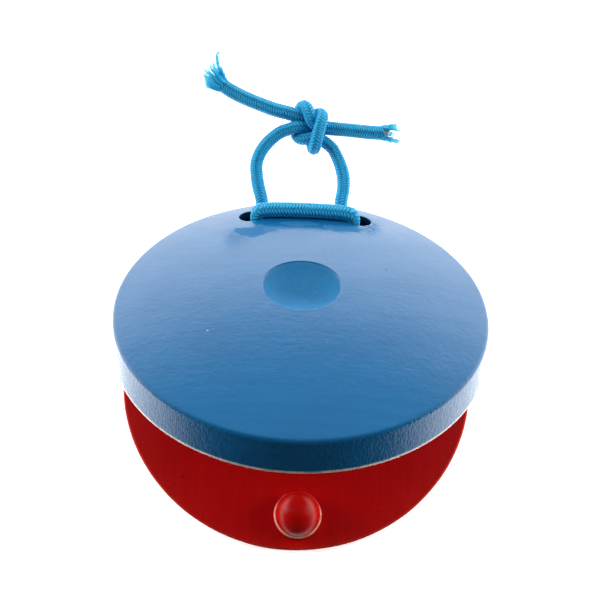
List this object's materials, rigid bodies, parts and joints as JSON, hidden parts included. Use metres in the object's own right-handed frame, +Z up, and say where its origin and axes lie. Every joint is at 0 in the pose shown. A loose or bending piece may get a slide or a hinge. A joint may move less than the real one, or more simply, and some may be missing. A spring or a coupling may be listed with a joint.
{
  "type": "castanets",
  "caption": "Flat round wooden finger castanets: hollowed shells with thumb dimples and a striker knob, held open by a knotted elastic cord that makes the finger loop.",
  "frame": {"origin": "on the standing surface, under the middle of the box round both shells and the knob, without the cord", "axes": "+Z up from the standing surface, +Y towards the cord holes and the finger loop, +X to the right seen from the open side; the clap hinge runs along X"},
  "size_m": [0.0561, 0.0822, 0.0394],
  "materials": {
    "red_lacquer": "gloss lacquer",
    "knob_lacquer": "gloss lacquer",
    "blue_lacquer": "gloss lacquer",
    "cord_sheath": "braided",
    "rubber_core": "matt"
  },
  "bodies": {
    "lower_half": {"lower_shell": "red_lacquer", "striker_knob": "knob_lacquer", "cord_riser_left": "cord_sheath", "cord_riser_right": "cord_sheath", "cord_leg_left": "cord_sheath", "cord_leg_right": "cord_sheath", "cord_bend_left": "cord_sheath", "cord_bend_right": "cord_sheath"},
    "upper_half": {"upper_shell": "blue_lacquer", "cord_bridge": "cord_sheath"},
    "finger_loop": {"cord_loop_left": "cord_sheath", "cord_loop_right": "cord_sheath", "cord_knot": "cord_sheath", "cord_tail_left": "cord_sheath", "cord_tail_right": "cord_sheath", "cord_fray_left": "cord_sheath", "cord_fray_right": "cord_sheath", "core_end_left": "rubber_core", "core_end_right": "rubber_core"}
  },
  "joints": [
    {"name": "clap_hinge", "type": "hinge", "parent": "lower_half", "child": "upper_half", "pos_m": [0, 0.02635, 0.00965], "axis": [1, 0, 0], "range_deg": [-9, 20.6], "stiffness_Nm_per_rad": 0.04, "springref_deg": -3.7, "deforming": ["cord_riser_left", "cord_riser_right"]},
    {"name": "loop_swing", "type": "hinge", "parent": "lower_half", "child": "finger_loop", "pos_m": [0, 0.0302, 0.00855], "axis": [1, 0, 0], "range_deg": [-38, 60], "stiffness_Nm_per_rad": 0.002, "springref_deg": 1.49, "deforming": ["cord_bend_left", "cord_bend_right"]}
  ]
}
